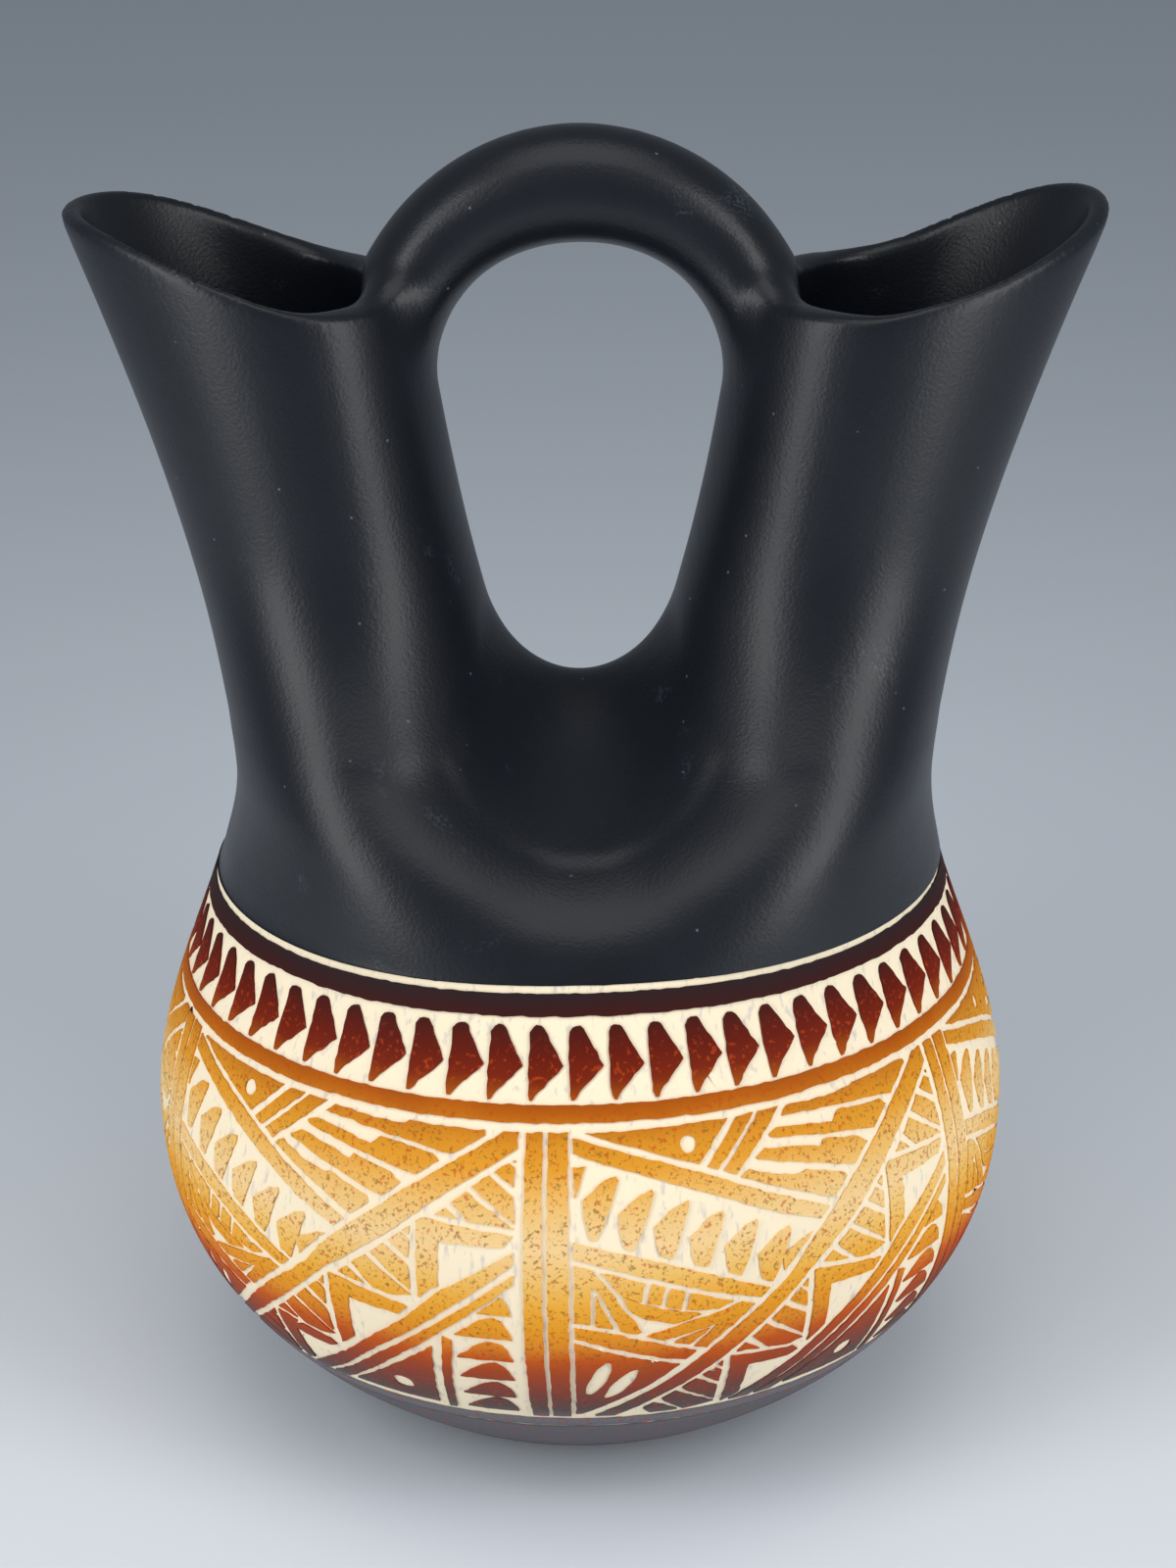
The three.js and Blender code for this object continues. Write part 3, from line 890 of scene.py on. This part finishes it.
def scraped_clay_material():
    """Pale clay bared by a blade: dry and matt, with faint strokes where the tool chattered."""
    material, tree, shader = new_material(CLAY_NAME)
    colours = settings("vase_colours")
    place = add_node(tree, "ShaderNodeTexCoord").outputs["Object"]
    along = add_node(tree, "ShaderNodeMapping", {"Scale": (1, 1, 0.3)}, {"Vector": place})
    stroke = add_node(
        tree, "ShaderNodeTexNoise", {"Scale": 1 / (1.3 * MM), "Detail": 2},
        {"Vector": along.outputs["Vector"]})
    shade = add_node(
        tree, "ShaderNodeMapRange", {"From Min": 0.58, "From Max": 0.74}, {"Value": stroke.outputs["Fac"]})
    mixed = add_node(
        tree, "ShaderNodeMix", {"A": (*colours.clay, 1), "B": (*linear("#D6CBBC"), 1)},
        {"Factor": shade.outputs["Result"]}, data_type="RGBA")
    tree.links.new(mixed.outputs["Result"], shader.inputs["Base Color"])
    shader.inputs["Roughness"].default_value = 0.85
    shader.inputs["Specular IOR Level"].default_value = 0.2
    bump = add_node(tree, "ShaderNodeBump", {"Strength": 0.5, "Distance": 0.1 * MM},
                    {"Height": stroke.outputs["Fac"]})
    tree.links.new(bump.outputs["Normal"], shader.inputs["Normal"])
    return material


def material_named(name, make):
    return bpy.data.materials.get(name) or make()


def finish_black(piece):
    """Gives the piece the black slip alone, and a smooth shade between its edges."""
    piece.data.materials.clear()
    piece.data.materials.append(material_named(BLACK_NAME, black_slip_material))
    make_active(piece)
    bpy.ops.object.shade_smooth_by_angle(angle=SKIN_SHARPNESS)


# The camera's sensor in mm, and the strength of the light from all round
SENSOR_WIDTH = 36
ROOM_LIGHT = 0.35
# The floor and the lamps in metres
FLOOR_SIZE = 12
FLOOR_DROP = 0.2 * MM
LAMP_TARGET = Vector((0, 0, 0.2))
# Each lamp is given by its name, place, width, height and power in watts
LAMPS = (
    ("left_softbox", (-0.41, -0.33, 0.32), 0.22, 0.62, 2.0),
    ("right_softbox", (0.41, -0.33, 0.32), 0.22, 0.62, 2.0),
    ("top_softbox", (0.0, -0.35, 1.2), 0.9, 0.9, 4.0),
)


class VASE_OT_stage(bpy.types.Operator):
    """Add the camera, the floor and the lights"""
    bl_idname = "vase.stage"
    bl_label = "Stage"

    def execute(self, context):
        stage = settings("vase_stage")
        deselect()
        bpy.ops.object.camera_add(
            location=(0, -stage.distance, stage.height), rotation=(math.pi / 2 - stage.pitch, 0, 0))
        camera = context.object
        camera.data.lens = stage.lens
        camera.data.sensor_width = SENSOR_WIDTH
        camera.data.shift_x = stage.axis_shift
        context.scene.camera = camera
        self.add_floor(stage)
        self.add_lights()
        context.scene.view_settings.view_transform = "Standard"
        return {"FINISHED"}

    def add_floor(self, stage):
        bpy.ops.mesh.primitive_plane_add(size=FLOOR_SIZE, location=(0, 0, -FLOOR_DROP))
        floor = bpy.context.object
        floor.name = "floor"
        material, tree, shader = new_material("pale_floor")
        shader.inputs["Base Color"].default_value = (*stage.floor_colour, 1)
        shader.inputs["Roughness"].default_value = 0.9
        floor.data.materials.append(material)

    def add_lights(self):
        for name, place, width, height, power in LAMPS:
            data = bpy.data.lights.new(name, "AREA")
            data.shape = "RECTANGLE"
            data.size = width
            data.size_y = height
            data.energy = power
            lamp = bpy.data.objects.new(name, data)
            lamp.location = place
            lamp.rotation_euler = (LAMP_TARGET - Vector(place)).to_track_quat("-Z", "Y").to_euler()
            bpy.context.scene.collection.objects.link(lamp)
        world = bpy.data.worlds.new("studio")
        world.use_nodes = True
        background = world.node_tree.nodes["Background"]
        background.inputs["Color"].default_value = (*linear("#C9D2DC"), 1)
        background.inputs["Strength"].default_value = ROOM_LIGHT
        bpy.context.scene.world = world


class VASE_OT_black_body(bpy.types.Operator):
    """Fuse the shoulder, the spouts and the handle into one satin black body"""
    bl_idname = "vase.black_body"
    bl_label = "Black body"

    def execute(self, context):
        skin = settings("vase_skin")
        outline = BowlOutline()
        nodes = ("upper_bowl", "shoulder", "left_spout", "right_spout", "handle")
        body = joined([smooth_clay_copy(node) for node in nodes], "black_body")
        swell(body, skin.seam / 2)
        fuse(body, skin.grain)
        swell(body, -skin.seam / 2)
        fillets = self.corner_fillets(body, skin)
        body = joined([body, *fillets], "black_body")
        fuse(body, skin.grain)
        relax(body, skin.rounds)
        self.true_lips(body)
        place, normal = top_plane(outline)
        overlap = 0.1 * MM
        keep_above(body, place - normal * overlap, normal)
        self.add_waves(body, skin, place.z)
        finish_black(body)
        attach(body, "root")
        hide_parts("shoulder", "left_spout", "right_spout", "handle")
        return {"FINISHED"}

    def roots(self):
        """The two places where the handle grows out of the lips."""
        inset = 3 * MM
        low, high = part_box("handle")
        height = low.z + 4 * MM
        return Vector((low.x + inset, 0, height)), Vector((high.x - inset, 0, height))

    def corner_fillets(self, body, skin):
        """The skin with its inner corners rounded, as far as it lies at the roots and along the saddle."""
        root_reach = Vector((21, 21, 21)) * MM
        saddle = Vector((0, 0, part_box("left_spout")[0].z))
        saddle_reach = Vector((31, 58, 27)) * MM
        coarse_grain = skin.grain * 1.3
        clear = 3 * MM
        places = [(root, root_reach, skin.corner, skin.grain) for root in self.roots()]
        places.append((saddle, saddle_reach, skin.saddle_corner, coarse_grain))
        fillets = []
        for place, reach, corner, grain in places:
            margin = Vector((1, 1, 1)) * (corner + clear)
            fillet = part_within(body, place, reach + margin)
            fill_corners(fillet, corner, grain)
            fillets.append(part_within(fillet, place, reach))
            bpy.data.objects.remove(fillet)
        return fillets

    def true_lips(self, body):
        """Gives the lips finer faces and lays them on the clay members' own lips."""
        levels = 1
        rounds = 4
        target = joined([smooth_clay_copy(node, levels) for node in ("left_spout", "right_spout")], "lips")
        self.refine_crest(body, target)
        self.weigh_lips(body)
        for _ in range(rounds):
            apply_modifier(body, "SMOOTH", factor=0.5, iterations=3, vertex_group="lips")
            apply_modifier(body, "SHRINKWRAP", target=target, vertex_group="lips",
                           wrap_method="NEAREST_SURFACEPOINT")
        body.vertex_groups.clear()
        bpy.data.objects.remove(target)

    def refine_crest(self, body, target):
        """Halves the faces of the body that lie near the top of the target's lips."""
        band = 4 * MM
        upwards = 0.8
        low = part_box("handle")[0].z
        crest = [vertex.co for vertex in target.data.vertices
                 if vertex.normal.z > upwards and vertex.co.z > low]
        tree = KDTree(len(crest))
        for i, place in enumerate(crest):
            tree.insert(place, i)
        tree.balance()
        for vertex in body.data.vertices:
            vertex.select = vertex.co.z > low and tree.find(vertex.co)[2] < band
        make_active(body)
        set_mode("EDIT")
        bpy.ops.mesh.select_mode(type="VERT")
        bpy.ops.mesh.subdivide(number_cuts=1)
        set_mode("OBJECT")

    def weigh_lips(self, body):
        """Groups the mouths' vertices, and leaves out the handle and the skin round its roots."""
        clear, fade = 19 * MM, 8 * MM
        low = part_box("handle")[0].z
        roots = self.roots()
        group = body.vertex_groups.new(name="lips")
        for vertex in body.data.vertices:
            away = min((vertex.co - root).length for root in roots) - clear
            outside = abs(vertex.co.x) > roots[1].x
            share = min(1.0, away / fade, (vertex.co.z - low) / fade) if outside else 0
            if share > 0:
                group.add([vertex.index], share, "REPLACE")

    def add_waves(self, body, skin, seam_height):
        """Makes the wall a little uneven, and leaves it true where the bowl begins."""
        calm, fade = 3 * MM, 12 * MM
        places = []
        for vertex in body.data.vertices:
            share = min(1.0, max(0.0, (vertex.co.z - seam_height - calm) / fade))
            wave = noise.noise(vertex.co / skin.wave_length) * skin.waviness * share
            places.extend(vertex.co + vertex.normal * wave)
        body.data.vertices.foreach_set("co", places)
        body.data.update()


class VASE_OT_etched_bowl(bpy.types.Operator):
    """Make the bowl's wall with its ornament scraped into it"""
    bl_idname = "vase.etched_bowl"
    bl_label = "Etched bowl"

    def execute(self, context):
        ornament = settings("vase_ornament")
        outline = BowlOutline()
        foot_rise = outline.rise_at(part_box("base")[1].z) / MM
        flat, triangles, is_slip = flat_ornament(foot_rise, ornament.edge_step / MM, ornament.grid_step / MM)
        noise.seed_set(WANDER_SEED)
        mesh = bpy.data.meshes.new("etched_bowl")
        mesh.from_pydata([self.on_wall(outline, point, foot_rise) for point in flat], [], triangles)
        bowl = bpy.data.objects.new("etched_bowl", mesh)
        context.scene.collection.objects.link(bowl)
        layer = mesh.uv_layers.new(name="wrap")
        for loop in mesh.loops:
            turn, rise = flat[loop.vertex_index]
            layer.data[loop.index].uv = (turn / 360, rise / TOP_RISE)
        for name, make in ((SLIP_NAME, sprayed_slip_material), (CLAY_NAME, scraped_clay_material),
                           (BLACK_NAME, black_slip_material)):
            mesh.materials.append(material_named(name, make))
        for face, slip in zip(mesh.polygons, is_slip):
            face.material_index = SLIP_FACE if slip else CLAY_FACE
        self.close_wall(bowl, ornament.wall)
        self.scrape(bowl, ornament.depth)
        bpy.ops.object.shade_smooth_by_angle(angle=BOWL_SHARPNESS)
        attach(bowl, "root")
        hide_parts("lower_bowl", "upper_bowl")
        return {"FINISHED"}

    def on_wall(self, outline, point, foot_rise):
        """Place in space of a point of the unrolled ornament, which wanders as a hand-held blade does."""
        ornament = settings("vase_ornament")
        turn, rise = point
        # In mm: the edge that stays true, the ring on which the noise is read and the length of a wander
        calm = 2
        mean_radius = 60
        wander_length = 1.2
        inside = min(1.0, (TOP_RISE - rise) / calm, (rise - foot_rise) / calm)
        angle = math.radians(turn)
        seed = Vector((math.sin(angle) * mean_radius, math.cos(angle) * mean_radius, rise)) / wander_length
        wander = noise.noise_vector(seed) * (ornament.raggedness / MM) * max(0.0, inside)
        turn += wander.x / MM_PER_DEGREE
        rise += wander.y
        slant = tilt_rise(turn, rise, ornament.tilt / MM, ornament.tilt_turn, foot_rise)
        return outline.point(turn, outline.height_at((rise + slant) * MM))

    def close_wall(self, bowl, wall):
        """Sews the ends of the unrolled sheet together and gives it the wall's thickness."""
        make_active(bowl)
        set_mode("EDIT")
        bpy.ops.mesh.select_mode(type="VERT")
        bpy.ops.mesh.select_all(action="DESELECT")
        bpy.ops.mesh.select_non_manifold()
        bpy.ops.mesh.remove_doubles(threshold=0.4 * MM)
        set_mode("OBJECT")
        self.mend_pinches(bowl.data)
        outer_faces = len(bowl.data.polygons)
        apply_modifier(bowl, "SOLIDIFY", thickness=wall, offset=-1)
        for face in bowl.data.polygons[outer_faces:]:
            face.material_index = WALL_FACE

    def mend_pinches(self, mesh):
        """Where two scraped fields touch in one point, slip is left on the smallest facet there."""
        tries = 20
        for _ in range(tries):
            sides = {}
            for face in mesh.polygons:
                for key in face.edge_keys:
                    sides.setdefault(key, []).append(face)
            changes = {}
            for key, faces in sides.items():
                if len(faces) == 2 and faces[0].material_index != faces[1].material_index:
                    for corner in key:
                        changes[corner] = changes.get(corner, 0) + 1
            pinched = {corner for corner, count in changes.items() if count > 2}
            if not pinched:
                return
            smallest = {}
            for face in mesh.polygons:
                if face.material_index == CLAY_FACE:
                    for corner in pinched.intersection(face.vertices):
                        if corner not in smallest or face.area < smallest[corner].area:
                            smallest[corner] = face
            for face in smallest.values():
                face.material_index = SLIP_FACE
        raise RuntimeError("Scraped fields still touch in single points")

    def scrape(self, bowl, depth):
        """Sinks the bared clay below the slip."""
        make_active(bowl)
        bowl.active_material_index = CLAY_FACE
        set_mode("EDIT")
        bpy.ops.mesh.select_all(action="DESELECT")
        bpy.ops.mesh.select_mode(type="FACE")
        bpy.ops.object.material_slot_select()
        bpy.ops.mesh.extrude_region_shrink_fatten(TRANSFORM_OT_shrink_fatten={"value": -depth})
        set_mode("OBJECT")


class VASE_OT_foot(bpy.types.Operator):
    """Make the flat base with its edge worn soft"""
    bl_idname = "vase.foot"
    bl_label = "Foot"

    def execute(self, context):
        foot = smooth_clay_copy("base")
        rename(foot, "foot")
        apply_modifier(foot, "BEVEL", width=0.6 * MM, segments=3, limit_method="ANGLE",
                       angle_limit=math.radians(40))
        finish_black(foot)
        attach(foot, "root")
        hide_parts("base")
        return {"FINISHED"}


class VASE_PT_panel(bpy.types.Panel):
    """Steps and settings of the vase"""
    bl_label = "Wedding vase"
    bl_idname = "VASE_PT_panel"
    bl_space_type = "VIEW_3D"
    bl_region_type = "UI"
    bl_category = "Vase"

    def draw(self, context):
        for operator in OPERATORS:
            self.layout.operator(operator.bl_idname)
        for name, group in GROUPS.items():
            box = self.layout.box()
            for key in group.__annotations__:
                box.prop(getattr(context.scene, name), key)


OPERATORS = (VASE_OT_stage, VASE_OT_black_body, VASE_OT_etched_bowl, VASE_OT_foot)
GROUPS = {
    "vase_stage": VaseStageSettings,
    "vase_skin": VaseSkinSettings,
    "vase_ornament": VaseOrnamentSettings,
    "vase_colours": VaseColourSettings,
}


def register():
    for group in GROUPS.values():
        bpy.utils.register_class(group)
    for name, group in GROUPS.items():
        setattr(bpy.types.Scene, name, bpy.props.PointerProperty(type=group))
    for item in (*OPERATORS, VASE_PT_panel):
        bpy.utils.register_class(item)


def unregister():
    for item in (VASE_PT_panel, *reversed(OPERATORS)):
        bpy.utils.unregister_class(item)
    for name in GROUPS:
        delattr(bpy.types.Scene, name)
    for group in GROUPS.values():
        bpy.utils.unregister_class(group)


def main():
    register()
    bpy.ops.vase.stage()
    bpy.ops.vase.black_body()
    bpy.ops.vase.etched_bowl()
    bpy.ops.vase.foot()


if __name__ == "__main__":
    main()
